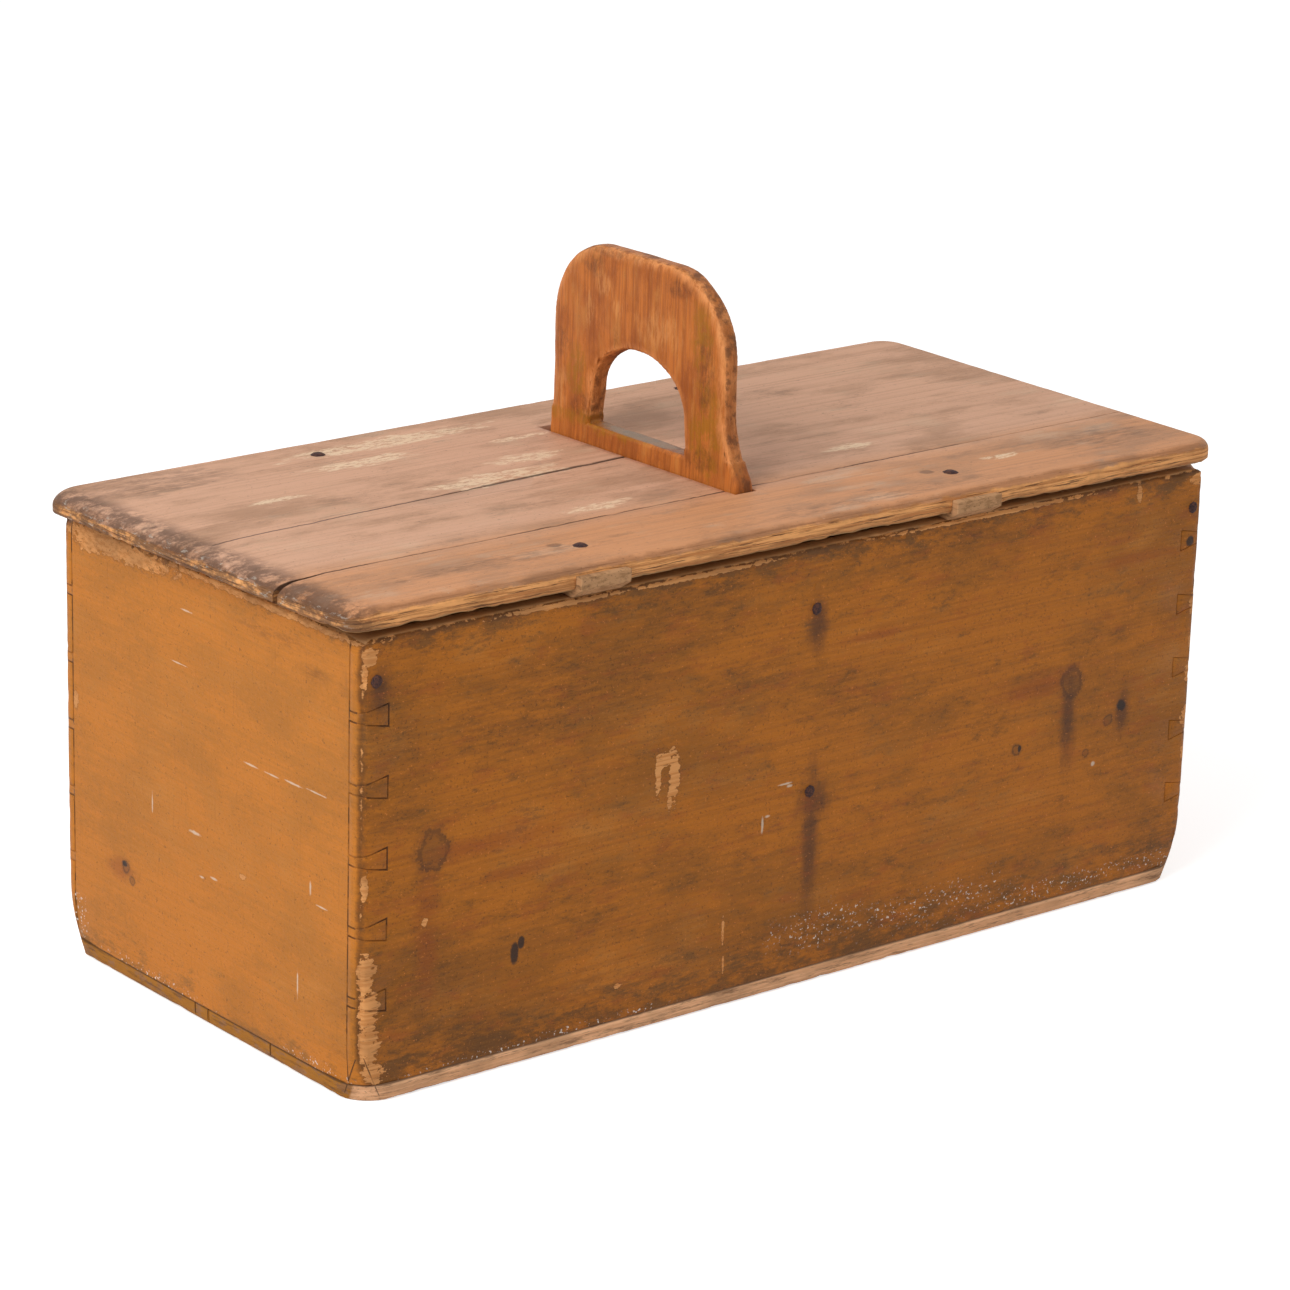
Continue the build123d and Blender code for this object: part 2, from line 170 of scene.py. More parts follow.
paper_material = bpy.data.materials.new("white_paper")
paper_material.use_nodes = True
tree = paper_material.node_tree
tree.nodes.clear()
lift = node(tree, "ShaderNodeMath", {0: seen_directly(tree), 1: paper_lift}, operation="MULTIPLY")
glow = node(tree, "ShaderNodeEmission", {"Color": (1, 1, 1, 1), "Strength": lift.outputs[0]})
matt = node(tree, "ShaderNodeBsdfDiffuse", {"Color": (paper_white, paper_white, paper_white, 1)})
both = node(tree, "ShaderNodeAddShader", {0: matt.outputs[0], 1: glow.outputs[0]})
node(tree, "ShaderNodeOutputMaterial", {"Surface": both.outputs[0]})
paper.data.materials.append(paper_material)

world = bpy.data.worlds.new("studio")
bpy.context.scene.world = world
world.use_nodes = True
tree = world.node_tree
tree.nodes.clear()
strength = node(
    tree, "ShaderNodeMapRange",
    {"Value": seen_directly(tree), "To Min": world_light, "To Max": 1},
)
sky = node(tree, "ShaderNodeBackground", {"Color": (1, 1, 1, 1), "Strength": strength.outputs["Result"]})
node(tree, "ShaderNodeOutputWorld", {"Surface": sky.outputs[0]})
print("paper", 2 * paper_reach, "m wide; world light", world_light)

# %% [markdown]
# ## Light
#
# The end of the bin is brighter than its front, and the lid is bright too, so the main light is
# a large soft box high on the left. A weaker one in front keeps the front from going dull.
# Large lamps far off give the soft edges that the shadows of the lid have.

# %% Soft boxes
aim_height = 0.2


def soft_box(name, toward, distance, width, watts):
    """A square lamp that stands in the given direction from the bin and shines at it."""
    lamp = bpy.data.lights.new(name, "AREA")
    lamp.shape = "SQUARE"
    lamp.size = width
    lamp.energy = watts
    holder = bpy.data.objects.new(name, lamp)
    holder.location = Vector((0, 0, aim_height)) + Vector(toward).normalized() * distance
    holder.rotation_mode = "QUATERNION"
    holder.rotation_quaternion = Vector(toward).to_track_quat("Z", "Y")
    bpy.context.scene.collection.objects.link(holder)


soft_box("left_soft_box", (-0.7, -0.16, 0.7), 3.2, 1.8, 58)
soft_box("front_soft_box", (0.25, -0.8, 0.55), 3.6, 2.0, 5)

# %% [markdown]
# ## Worn copies of the boards
#
# The boards in the frame are clean: straight arrises and flat faces. Wood that has been carried,
# dragged and knocked for so long has neither. We could sculpt each board, but a rule is easier to
# keep true: wear depends on where a point is on the bin, and most of all on how near it is to
# an outer edge. So each board is copied, its arrises are softened, its faces are cut fine along
# the rims, and every point is then moved by one rule, the same for all boards of the box.
# Boards that meet are moved alike, so their joints stay closed.
# The copies are made in millimetres, because that is how wear is thought of.

# %% Copy and soften a board
same_point = 0.002
flat_angle = math.radians(1)
sharp_angle = math.radians(35)


def plain_copy(node_name):
    """The node's mesh in millimetres, with its seams joined and its flat faces made whole."""
    shape = bmesh.new()
    shape.from_mesh(frame["nodes"][node_name].data)
    bmesh.ops.scale(shape, vec=(1 / MM, 1 / MM, 1 / MM), verts=shape.verts)
    bmesh.ops.remove_doubles(shape, verts=shape.verts, dist=same_point)
    bmesh.ops.dissolve_limit(shape, angle_limit=flat_angle, verts=shape.verts, edges=shape.edges)
    return shape


def soften(shape, width, shortest=4.5):
    """Takes the sharp edges off the shape, apart from those shorter than the shortest.

    The new narrow faces are marked, because dirt gathers in them where two boards meet.
    """
    grimy = shape.faces.layers.float.new("grimy")
    sharp = [
        edge for edge in shape.edges
        if len(edge.link_faces) == 2
        and edge.calc_face_angle(0) > sharp_angle
        and edge.calc_length() > shortest
    ]
    made = bmesh.ops.bevel(
        shape, geom=sharp, offset=width, offset_type="OFFSET", segments=1,
        profile=0.5, affect="EDGES", clamp_overlap=False,
    )
    for face in made["faces"]:
        face[grimy] = 1


clean_copy = plain_copy("front_board")
print("the clean front board has", len(clean_copy.faces), "flat faces")
clean_copy.free()

# %% [markdown]
# ## Cutting faces fine
#
# Wear only moves points, so a face needs points where it wears: many along its rims and few in
# its middle. Planes cut the mesh and keep it closed, and they are the same for all boards of the
# box, so that boards that meet get points in the same places.

# %% Cut a board fine
AXES = (0, 1, 2)
X, Y, Z = AXES
rim_steps = (1.5, 4, 8, 13)
rim_width = 10
on_plane = 0.01
outer_depth = 2
slant = 0.5


def cut(shape, axis, places, faces):
    """Cuts the faces by planes across the axis at the places, and gives back all faces that result."""
    edges = {edge for face in faces for edge in face.edges}
    corners = {corner for face in faces for corner in face.verts}
    parts = list(corners) + list(edges) + list(faces)
    across = [float(axis == other) for other in AXES]
    for place in places:
        point = [place * share for share in across]
        made = bmesh.ops.bisect_plane(
            shape, geom=parts, dist=on_plane, plane_co=point, plane_no=across,
        )
        parts = made["geom"]
    return [part for part in parts if isinstance(part, bmesh.types.BMFace)]


def even(low, high, step):
    """Places about a step apart between low and high, without the two ends."""
    count = max(1, round((high - low) / step))
    return [low + (high - low) * number / count for number in range(1, count)]


def graded(low, high, step):
    """Places close together by both ends of a board and a step apart between them."""
    ends = [low + reach for reach in rim_steps] + [high - reach for reach in rim_steps]
    return ends + even(low + rim_steps[-1], high - rim_steps[-1], step)


def cut_rims(shape, low, high, rim_step, face_step):
    """Cuts the outer faces of a shape that fills part of the box from low to high.

    The slanting sides of the dovetails are cut too, because they reach the rounded corners.
    """
    def gap(place, axis):
        return min(place[axis] - low[axis], high[axis] - place[axis])

    def slanting(face):
        return min(abs(face.normal.x), abs(face.normal.y)) > slant

    outer = [
        face for face in shape.faces
        if min(gap(face.calc_center_median(), axis) for axis in AXES) < outer_depth or slanting(face)
    ]
    for axis in AXES:
        outer = cut(shape, axis, graded(low[axis], high[axis], face_step), outer)
    for axis in AXES:
        others = [other for other in AXES if other != axis]
        rim = [
            face for face in outer
            if max(gap(face.calc_center_median(), other) for other in others) < rim_width
        ]
        kept = set(outer) - set(rim)
        outer = list(kept) + cut(shape, axis, even(low[axis], high[axis], rim_step), rim)


print("a board 100 mm long is cut at", sorted(round(place, 1) for place in graded(0, 100, 28)), "mm")

# %% [markdown]
# ## Standing in for the frame's pieces
#
# The frame knows which body each piece moves with and which slot its material has. A worn copy
# takes both over from the piece that it replaces.

# %% Worn copies take their places
crease_angle = math.radians(40)


def worn_piece(node_name, shape, wear_at):
    """Stands a worn copy in for a node of the frame and lets it ride on that node's body.

    Each point keeps its unworn place and how rubbed it is, for the materials.
    """
    rubbed = shape.verts.layers.float.new("rubbed")
    made_at = shape.verts.layers.float_vector.new("made_at")
    shape.normal_update()
    moved = [wear_at(vert.co, vert.normal) for vert in shape.verts]
    for vert, (place, amount) in zip(shape.verts, moved):
        vert[made_at] = vert.co
        vert.co = place * MM
        vert[rubbed] = amount
    mesh = bpy.data.meshes.new(f"worn_{node_name}")
    shape.to_mesh(mesh)
    shape.free()
    mesh.shade_smooth()
    mesh.set_sharp_from_angle(angle=crease_angle)
    piece = bpy.data.objects.new(f"worn_{node_name}", mesh)
    bpy.context.scene.collection.objects.link(piece)
    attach(piece, body_of_node[node_name])
    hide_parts(node_name)
    worn[node_name] = piece
    print(node_name, len(mesh.polygons), "faces")


worn = {}
body_of_node = {
    node_name: body
    for body, node_names in frame["record"]["behaviour"]["bodies"].items()
    for node_name in node_names
}
slot_of_node = {part["node"]: part["material_slot"] for part in frame["record"]["subparts"]}
print("boards, battens and nails to wear:", len(body_of_node))

# %% [markdown]
# ## How the box wears
#
# An outer edge is where two outer faces meet, so a point's distance to the nearest edge is its
# second smallest distance to the faces of the box. There the wood goes down by a little
# everywhere, and by more where slow noise says that a knock took a chip.
# The right front corner has lost small chips all the way down, and the left one is rubbed hollow
# near its foot. All corners are round, most of all at the foot, and so are the shoulders at the
# top of the ends. Flat faces only lie a little uneven, as hand-planed boards do.

# %% Wear on the box
box_low = Vector((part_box("left_end_board")[0][0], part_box("front_board")[0][1], 0)) / MM
box_high = Vector((
    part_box("right_end_board")[1][0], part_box("back_board")[1][1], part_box("front_board")[1][2],
)) / MM
wear_reach = 9
rub_reach = 16
skin = 5
worn_everywhere = 0.35
worn_underneath = 0.3
chip_depth = 0.8
chip_depth_right_front = 1.5
hollow_depth = 1.6
hollow_begins = (12, 30)
hollow_ends = (100, 60)
corner_radius = 7
foot_radius = 31
foot_rise = 40
foot_blend = 10
shoulder_radius = 12
unevenness = 0.2


def outer_gaps(place, low, high):
    """Each outer face's distance from the point, with the direction in from that face, nearest first."""
    gaps = []
    for axis in AXES:
        inward = Vector([float(axis == other) for other in AXES])
        gaps += [(place[axis] - low[axis], inward), (high[axis] - place[axis], -inward)]
    return sorted(gaps, key=lambda gap: gap[0])


def bump_of(place, size, seed):
    """Smooth noise between about -1 and 1 whose bumps are about size apart."""
    return noise.noise(place / size + Vector((seed, seed * 0.7, -seed)))


def smooth_step(low, high, value):
    """0 below low, 1 above high, and a soft rise between; or the fall, where low is above high."""
    share = min(max((value - low) / (high - low), 0), 1)
    return share * share * (3 - 2 * share)


def round_off(moved, place, first, second, radius, share=1):
    """Rounds the corner that two outer faces make, given their axes; the share fades it out."""
    gaps = []
    inward = []
    for axis in (first, second):
        from_low = place[axis] - box_low[axis]
        from_high = box_high[axis] - place[axis]
        gaps.append(min(from_low, from_high))
        inward.append(1 if from_low < from_high else -1)
    over = math.hypot(radius - gaps[0], radius - gaps[1])
    if max(gaps) < radius < over:
        for axis, gap, sign in zip((first, second), gaps, inward):
            moved[axis] += sign * share * (radius - gap) * (1 - radius / over)


def wear_of_box(place, normal):
    """Where a point of the box ends up, and how rubbed it is."""
    gaps = outer_gaps(place, box_low, box_high)
    edge_distance = gaps[1][0]
    near = max(0, 1 - edge_distance / wear_reach)
    chip = smooth_step(0.1, 0.55, bump_of(place, 11, 3))
    chip += 0.6 * smooth_step(0.2, 0.5, bump_of(place, 5, 8))
    right_front = place.x > 0 and place.y < 0
    depth = worn_everywhere + (chip_depth_right_front if right_front else chip_depth) * chip
    if place.x < 0 and place.y < 0:
        hollow = smooth_step(*hollow_begins, place.z) * smooth_step(*hollow_ends, place.z)
        depth += hollow_depth * hollow
    moved = place.copy()
    at_foot = foot_radius * (1 - place.z / foot_rise)
    blended = (corner_radius + at_foot + math.hypot(corner_radius - at_foot, foot_blend)) / 2
    round_off(moved, place, X, Y, blended)
    if place.z > box_high.z / 2:
        from_wall = min(place.y - box_low.y, box_high.y - place.y)
        round_off(moved, place, X, Z, shoulder_radius, smooth_step(16, 4, from_wall))
    for gap, inward in gaps[:2]:
        sunk = near * near * depth * max(0, 1 - gap / wear_reach)
        if inward.z > 0:
            sunk *= worn_underneath
        if inward.z == 0:
            sunk += unevenness * (1 + bump_of(place, 70, 5)) * max(0, 1 - gap / skin)
        moved += inward * sunk
    return moved, max(0, 1 - edge_distance / rub_reach)


for node_name in (
    "front_board", "back_board", "left_end_board", "right_end_board",
    "bottom_board_front", "bottom_board_middle", "bottom_board_rear",
):
    shape = plain_copy(node_name)
    soften(shape, 0.5)
    cut_rims(shape, box_low, box_high, 3.5, 28)
    worn_piece(node_name, shape, wear_of_box)

# %% [markdown]
# ## How the lid wears
#
# The lid is lifted by its ends and slid along shelves, so its upper arris is round and its left
# end is worn down over the width of a thumb. Planks that lie flat for a lifetime also warp:
# the rear left corner of this lid has sunk, and the rear right one has lifted a little.
# The open joint between the planks gapes at the left end, where both planks are worn thin.

# %% Wear on the lid
lid_low = Vector(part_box("lid_front_plank")[0]) / MM
lid_high = Vector(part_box("lid_rear_plank")[1]) / MM
lid_length = lid_high.x - lid_low.x
lid_depth = lid_high.y - lid_low.y
lid_worn_everywhere = 0.3
tear_depth = 0.5
tear_depth_below = 1.1
lid_unevenness = 0.15
rear_left_sinks = 4
rear_right_lifts = 1.5
front_right_sinks = 1
joint_left_y = -92
joint_slant = 14
joint_gape = 2.2
end_wear_reach = 30
end_wear_depth = 3.2
batten_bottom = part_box("left_batten")[0][2] / MM


def warp_of_lid(place):
    """How far a point of the lid is lifted or sunk by the warp of its planks."""
    along = (place.x - lid_low.x) / lid_length
    back = (place.y - lid_low.y) / lid_depth
    rear_lift = (rear_left_sinks + rear_right_lifts) * along - rear_left_sinks
    front_lift = -front_right_sinks * smooth_step(0.5, 1, along)
    free = smooth_step(batten_bottom, lid_low.z + 4, place.z)
    return free * (front_lift * (1 - back) + rear_lift * back)


def wear_of_lid(place, normal):
    """Where a point of the lid ends up, and how rubbed it is."""
    gaps = outer_gaps(place, lid_low, lid_high)
    edge_distance = gaps[1][0]
    near = max(0, 1 - edge_distance / wear_reach)
    underside = smooth_step(lid_high.z - 7, lid_low.z, place.z)
    torn = smooth_step(0.05, 0.5, bump_of(place, 14, 21))
    torn += 0.5 * smooth_step(0.1, 0.5, bump_of(place, 6, 4))
    depth = lid_worn_everywhere + (tear_depth + tear_depth_below * underside) * torn
    moved = place.copy()
    for gap, inward in gaps[:2]:
        sunk = near * near * depth * max(0, 1 - gap / wear_reach)
        sunk += lid_unevenness * (1 + bump_of(place, 60, 15)) * max(0, 1 - gap / skin)
        moved += inward * sunk
    end_worn = smooth_step(end_wear_reach, 0, place.x - lid_low.x)
    high_up = max(0, (place.z - lid_low.z) / (lid_high.z - lid_low.z))
    moved.z -= end_wear_depth * end_worn * end_worn * high_up
    beside = place.y - joint_left_y - joint_slant * (place.x - lid_low.x) / lid_length
    gape = joint_gape * smooth_step(24, 0, place.x - lid_low.x) * max(0, 1 - abs(beside) / 9)
    moved.y += math.copysign(gape, beside)
    moved.z += warp_of_lid(place)
    return moved, max(0, 1 - edge_distance / rub_reach)


for node_name in ("lid_front_plank", "lid_rear_plank"):
    shape = plain_copy(node_name)
    soften(shape, 0.4)
    cut_rims(shape, lid_low, lid_high, 3.5, 24)
    worn_piece(node_name, shape, wear_of_lid)

# %% [markdown]
# ## Battens
#
# Two battens hold the planks together. Only their sawn ends show, under the lid's long edges.
# They get the same warp as the planks, which leaves their undersides on the walls.

# %% Wear on the battens
saw_marks = 0.12


def wear_of_batten(place, normal):
    """Saw marks and knocks on a batten."""
    moved = place.copy()
    end_on = smooth_step(lid_depth / 2 - 6, lid_depth / 2, abs(place.y))
    moved.y -= math.copysign(saw_marks * end_on * (1 + bump_of(place, 4, 2)), place.y)
    moved.z += warp_of_lid(place)
    return moved, end_on


for node_name in ("left_batten", "right_batten"):
    shape = plain_copy(node_name)
    soften(shape, 0.8)
    batten_low, batten_high = [Vector(corner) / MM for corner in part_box(node_name)]
    cut_rims(shape, batten_low, batten_high, 3, 12)
    worn_piece(node_name, shape, wear_of_batten)

# %% [markdown]
# ## The handle board
#
# The handle was sawn and whittled, and then polished by hands, so its arrises are round but
# wander a little, and its faces are not quite flat. Below the lid it is a plain partition.
# Noise at the scale of a finger gives the wandering, and more of it at the arris than on the faces.

# %% Wear on the handle
lid_top = lid_high.z
handle_low, handle_high = [Vector(corner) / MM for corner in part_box("handle_board")]
arris_reach = 10
arris_low = 0.3
arris_high = 2.2
arris_worn = 1.5
arris_wander = 0.5
sill_top = 332
sill_worn = 0.3
knife_marks = ((0.25, 18, 31), (0.2, 7, 33))
face_cuts = (-5, -2.5, 2.5, 5)


def points_on_arrises(shape, spacing):
    """Points along the round arrises of the board, in a tree that finds the nearest one fast."""
    points = []
    for edge in shape.edges:
        start, end = [corner.co for corner in edge.verts]
        from_face = handle_high.x - abs(start.x + end.x) / 2
        if arris_low < from_face < arris_high and abs(start.x - end.x) < arris_low:
            steps = max(1, round(edge.calc_length() / spacing))
            points += [start.lerp(end, number / steps) for number in range(steps + 1)]
    print("points on the handle's arrises:", len(points))
    found = KDTree(len(points))
    for number, point in enumerate(points):
        found.insert(point, number)
    found.balance()
    return found


def wear_of_handle(place, normal):
    """Where a point of the handle board ends up, and how rubbed it is."""
    above = smooth_step(lid_top - 2, lid_top + 10, place.z)
    near = max(0, 1 - handle_arrises.find(place)[2] / arris_reach)
    if place.z < sill_top and handle_low.y + 20 < place.y < handle_high.y - 20:
        near *= sill_worn
    whittled = sum(depth * (1 + bump_of(place, size, seed)) for depth, size, seed in knife_marks)
    rounded = near * near * (arris_worn + arris_wander * bump_of(place, 16, 17))
    return place - normal * above * (whittled + rounded), above * near


shape = plain_copy("handle_board")
handle_arrises = points_on_arrises(shape, 1.5)
soften(shape, 1.2, 3)
upper = [face for face in shape.faces if max(corner.co.z for corner in face.verts) > lid_top]
upper = cut(shape, X, face_cuts, upper)
upper = cut(shape, Z, even(lid_top - 6, handle_high.z, 3), upper)
cut(shape, Y, even(handle_low.y, handle_high.y, 3), upper)
worn_piece("handle_board", shape, wear_of_handle)

# %% [markdown]
# ## Nails and the peg
#
# The nails are hand-forged, so their hammered heads are uneven, and rust has eaten them.
# Cutting the eight-sided heads fine and pushing their points about by a few tenths of a
# millimetre is enough at this size. The lid's nails follow the warp of the lid.

# %% Hammered heads
hammered = 0.3
driven_in = 0.5


def wear_of_nail(place, normal):
    """An uneven, rusted surface."""
    push = Vector([bump_of(place, 2.2, seed) for seed in (1, 14, 27)])
    return place + push * hammered, 1


def wear_of_lid_nail(place, normal):
    """The same on a nail that goes down with the warp of the lid."""
    moved, amount = wear_of_nail(place, normal)
    moved.z += warp_of_lid(place) - driven_in
    return moved, amount


for node_name, body in body_of_node.items():
    if "nails" in node_name or node_name == "divider_peg":
        shape = plain_copy(node_name)
        bmesh.ops.triangulate(shape, faces=shape.faces)
        bmesh.ops.subdivide_edges(shape, edges=shape.edges, cuts=2)
        worn_piece(node_name, shape, wear_of_lid_nail if body == "lid" else wear_of_nail)

# %% [markdown]
# ## Masks
#
# Old paint and old wood are layers: a ground colour, then grain, grime, scars and bare edges,
# each laid over the last where its mask is 1 and not where it is 0. Most masks are patches of
# stretched noise: long and thin for grain, and round for stains. Photographs of wood would show
# more at first sight, but they repeat and cannot follow a knot or a nail to its place.
# All sizes are true millimetres, measured on the bin as it was before wear, so that a mark stays
# on its board when the board warps. A socket's id_data is the tree that it is in.

# %% Masks from noise


def add_up(*terms, start=0.0):
    """The start value plus each of the values times its weight."""
    total = start
    for value, weight in terms:
        inputs = {0: value, 1: weight, 2: total}
        total = node(value.id_data, "ShaderNodeMath", inputs, operation="MULTIPLY_ADD").outputs[0]
    return total


def between(value, low, high):
    """0 where the value is below low and 1 above high; or the fall, where low is above high."""
    inputs = {"Value": value, "From Min": low, "From Max": high}
    ramp = node(value.id_data, "ShaderNodeMapRange", inputs, interpolation_type="SMOOTHSTEP")
    return ramp.outputs["Result"]


def cloud(place, size, seed, detail=3, roughness=0.65):
    """Noise around a half; size gives how far it is stretched in x, y and z."""
    stretch = {0: place, 1: [1 / reach for reach in size], 2: (seed * 7.3, seed * 3.1, seed * 5.7)}
    stretched = node(place.id_data, "ShaderNodeVectorMath", stretch, operation="MULTIPLY_ADD")
    inputs = {"Vector": stretched.outputs[0], "Scale": 1, "Detail": detail, "Roughness": roughness}
    return node(place.id_data, "ShaderNodeTexNoise", inputs).outputs["Fac"]


def patches(place, size, seed, low, high, detail=3, roughness=0.65):
    """A mask of patches."""
    return between(cloud(place, size, seed, detail, roughness), low, high)


def mottled(place, fine, size, seed, low, high):
    """A mask of large patches whose borders the fine noise breaks up."""
    return between(add_up((cloud(place, size, seed, 2), 1), (fine, 1)), low, high)


def both_of(first, second):
    """Where both masks are."""
    return node(first.id_data, "ShaderNodeMath", {0: first, 1: second}, operation="MULTIPLY").outputs[0]


def either_of(first, second):
    """Where one mask or the other is."""
    return node(first.id_data, "ShaderNodeMath", {0: first, 1: second}, operation="MAXIMUM").outputs[0]


def lay(colour, *layers):
    """The colour with layers on it, each a colour with its mask and its strength."""
    for over, mask, strength in layers:
        over = linear(over) if isinstance(over, str) else over
        inputs = {0: both_of(mask, strength), 6: colour, 7: over}
        colour = node(mask.id_data, "ShaderNodeMix", inputs, data_type="RGBA").outputs[2]
    return colour


print("masks are laid out in mm, with z from", round(box_low.z), "to", round(box_high.z), "on the walls")

# %% [markdown]
# ## Marks at known places
#
# A knot or a scratch is not left to chance: each is a small ellipse at a place on one face of the
# bin. A list of them makes one mask, with noise to fray the borders. Seams are thin lines that
# wander a little, and dirt gathers in the narrow faces that softening the arrises has marked.

# %% Marks, seams and joints
mark_depth = 30
half_length, half_depth, wall_top = box_high
front = box_low.y
left_end = box_low.x


def marks_on(axis, face_at, *marks):
    """Marks on the face that lies across the axis.

    Each has its place along the face's other two axes and its half sizes along them.
    """
    made = []
    for first, second, half_first, half_second in marks:
        middle = [first, second]
        middle.insert(axis, face_at)
        reach = [half_first, half_second]
        reach.insert(axis, mark_depth)
        made.append((middle, reach))
    return made


def far_from(place, marks, ragged, grain):
    """How far the nearest mark is: 0 at its middle and 1 at its border, which is ragged."""
    tree = place.id_data
    nearest = 9.0
    for middle, reach in marks:
        shift = [-along / half for along, half in zip(middle, reach)]
        inputs = {0: place, 1: [1 / half for half in reach], 2: shift}
        share = node(tree, "ShaderNodeVectorMath", inputs, operation="MULTIPLY_ADD").outputs[0]
        far = node(tree, "ShaderNodeVectorMath", {0: share}, operation="LENGTH").outputs["Value"]
        nearest = node(tree, "ShaderNodeMath", {0: nearest, 1: far}, operation="MINIMUM").outputs[0]
    return add_up((nearest, 1), (cloud(place, grain, 3.3), 4 * ragged), start=-2 * ragged)


def spots(place, marks, ragged, grain, low, high):
    """One mask of all the marks."""
    return between(far_from(place, marks, ragged, grain), low, high)


def part_of(place, axis):
    """One coordinate of the place."""
    return node(place.id_data, "ShaderNodeSeparateXYZ", {0: place}).outputs[axis]


def size_of(value):
    """The value without its sign; for a coordinate this is its distance from the middle."""
    return node(value.id_data, "ShaderNodeMath", {0: value}, operation="ABSOLUTE").outputs[0]


def seam(place, start, end, width):
    """A thin line on top of the lid from start to end, which are its ends in x and y."""
    slope = (end[1] - start[1]) / (end[0] - start[0])
    sway = 4
    along = part_of(place, X)
    wander = cloud(place, (16, 60, 60), 4.4)
    beside = add_up(
        (part_of(place, Y), 1), (along, -slope), (wander, -sway),
        start=sway / 2 - start[1] + start[0] * slope,
    )
    begun = between(along, start[0] - 1, start[0] + 1)
    within = both_of(begun, between(along, end[0] + 1, end[0] - 1))
    return both_of(between(size_of(beside), width, 0.3 * width), within)


def dirt_in_joints(rubbed):
    """Where two boards meet, but not on the outer arrises."""
    grimy = node(rubbed.id_data, "ShaderNodeAttribute", {}, attribute_name="grimy").outputs["Fac"]
    return both_of(between(grimy, 0.4, 0.6), between(rubbed, 0.94, 0.88))


print("marks reach", mark_depth, "mm into their boards, so wear cannot take them off")

# %% [markdown]
# ## From a recipe to a material
#
# A recipe takes a point's unworn place and how rubbed it is. All surfaces here are wood, oil paint
# or rust, without varnish or bright metal, so one IOR near 1.5 does for all. Dusty surfaces mirror
# less than the IOR says, so the specular level is half the usual one.

# %% One material from one recipe
wood_ior = 1.48
dusty_gloss = 0.25


def material_of(name, recipe):
    """A material from a recipe for its colour, its roughness and its height in millimetres."""
    material = bpy.data.materials.new(name)
    material.use_nodes = True
    tree = material.node_tree
    tree.nodes.clear()
    place = node(tree, "ShaderNodeAttribute", {}, attribute_name="made_at").outputs["Vector"]
    rubbed = node(tree, "ShaderNodeAttribute", {}, attribute_name="rubbed").outputs["Fac"]
    colour, roughness, height = recipe(place, rubbed)
    relief = node(tree, "ShaderNodeBump", {"Height": height, "Distance": MM})
    surface = node(
        tree, "ShaderNodeBsdfPrincipled",
        {
            "Base Color": colour, "Roughness": roughness, "IOR": wood_ior,
            "Specular IOR Level": dusty_gloss, "Normal": relief.outputs[0],
        },
    )
    node(tree, "ShaderNodeOutputMaterial", {"Surface": surface.outputs[0]})
    print(name, "has", len(tree.nodes), "nodes")
    return material


print("IOR", wood_ior, "and specular level", dusty_gloss, "for every surface")

# %% [markdown]
# ## Bare pine
#
# Inside, underneath, and wherever the paint is gone, the bin is bare pine that has gone brown and
# holds dirt in its pores. It is the ground under most other recipes, so it comes first.
# Its growth rings are long streaks, darker where the late wood is, and a little raised.

# %% Bare pine
grain_along_x = (240, 7, 2.2)
grain_on_top = (240, 2.2, 7)


def pine(place, fresh, late, grain=grain_along_x):
    """The colour of bare old pine, and the mask of its late wood."""
    late_wood = patches(place, grain, 1.0, 0.44, 0.6, 5)
    return lay(
        linear(fresh),
        (late, late_wood, 0.55),
        ("#7A5A3C", patches(place, (70, 60, 50), 2.0, 0.42, 0.62), 0.35),
        ("#4C3322", patches(place, (14, 1.2, 1.2), 5.0, 0.6, 0.7, 2), 0.5),
    ), late_wood


print("growth rings are about", grain_along_x[2], "mm wide and", grain_along_x[0], "mm long")

# %% [markdown]
# ## The marks on the walls
#
# The walls wear one thin coat of ochre oil paint. Knots bleed resin through it, nails bleed rust,
# knocks have bared the wood, and flour has dried on it near the foot.
# A single tint with noise would look like plastic; the marks at known places make it a board.
# On the front a mark's two places are x and z, and on the left end they are y and z.

# %% Where the marks on the walls are
knots = [
    *marks_on(Y, front,
        (-296, 154, 12, 13), (233, 163, 10, 11), (185, 124.5, 4, 4), (270, 129.5, 4, 4),
        (250, 110, 3, 3),
    ),
    *marks_on(X, left_end, (91, 77, 4.5, 4), (84, 70, 3, 3)),
]
dark_holes = [
    *marks_on(Y, front,
        (282, 138, 4, 4), (-233, 74, 3, 7), (-228, 80, 2.5, 4), (338, 244.5, 3.5, 3.5),
        (188, 125, 1.6, 2.2),
    ),
    *marks_on(X, left_end, (93, 79, 3, 2), (46, 8, 4, 4), (6, 5, 9, 1.2), (-4, 4, 1.2, 4)),
]
rust_streaks = [
    *marks_on(Y, front,
        (4, 243, 7, 15), (5, 100, 6, 42), (6, 124, 12, 12), (-338, 262, 8, 13), (232, 138, 6, 26),
        (282, 132, 6, 12),
    ),
]
resin_streaks = [
    *marks_on(Y, front,
        (-252, 150, 48, 7), (-300, 122, 8, 26), (200, 166, 30, 7), (-230, 128, 30, 4),
        (290, 240, 30, 4), (-300, 90, 6, 26), (60, 228, 24, 3),
    ),
    *marks_on(X, left_end, (98, 74, 14, 6)),
]
